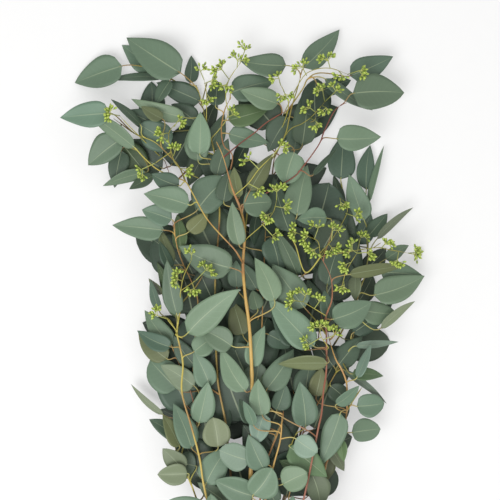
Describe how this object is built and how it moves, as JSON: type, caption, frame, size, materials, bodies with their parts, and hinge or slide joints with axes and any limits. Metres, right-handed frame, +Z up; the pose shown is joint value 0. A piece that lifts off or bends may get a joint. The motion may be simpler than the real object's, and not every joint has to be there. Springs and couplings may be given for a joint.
{
  "type": "bunch of eucalyptus",
  "caption": "Tied bunch of seeded eucalyptus lying flat, with broad blue-green leaves on fanned stems and sprays of small green buds.",
  "frame": {"origin": "middle of the bounding box in plan, on the surface that the bunch lies on", "axes": "+Y along the stems from the cut ends to the leaf tips, +Z up from the surface, +X to the right when the tips point away"},
  "size_m": [0.417, 0.716, 0.0915],
  "materials": {
    "leaf": "matte waxy green-grey blades on smooth yellow-green to orange-brown stems",
    "bud": "satin yellow-green buds on thin stalks",
    "band": "matte tan elastic"
  },
  "bodies": {
    "root": {"branch_under_left": "leaf", "branch_under_middle": "leaf", "branch_under_right": "leaf", "sprig_low_left": "leaf", "sprig_low_middle": "leaf", "sprig_low_right": "leaf", "sprig_left_edge": "leaf", "sprig_right_edge": "leaf", "sprig_top_left_low": "leaf", "sprig_top_low": "leaf", "sprig_middle_low": "leaf", "branch_lower_left": "leaf", "branch_left": "leaf", "branch_lower_middle": "leaf", "branch_right": "leaf", "sprig_left_middle": "leaf", "sprig_lower_left": "leaf", "sprig_lower_right": "leaf", "sprig_right_middle": "leaf", "branch_seeded_left": "leaf", "branch_seeded_right": "leaf", "sprig_top_middle": "leaf", "branch_middle": "leaf", "sprig_seeded_left": "leaf", "sprig_upper_left": "leaf", "sprig_top_right": "leaf", "sprig_right_red": "leaf", "sprig_front_middle": "leaf", "sprig_front_left": "leaf", "sprig_front_right": "leaf", "buds_left_fork": "bud", "buds_far_left": "bud", "buds_top_left": "bud", "buds_top_middle": "bud", "buds_top_fork": "bud", "buds_top_right": "bud", "buds_right_fork": "bud", "buds_middle_fork": "bud", "buds_middle": "bud", "buds_right_middle": "bud", "buds_right_red": "bud", "buds_left_seeded": "bud", "buds_left_edge": "bud", "buds_seeded_middle": "bud", "buds_seeded_low": "bud", "buds_right_edge": "bud", "buds_far_right": "bud", "band": "band"}
  },
  "joints": []
}
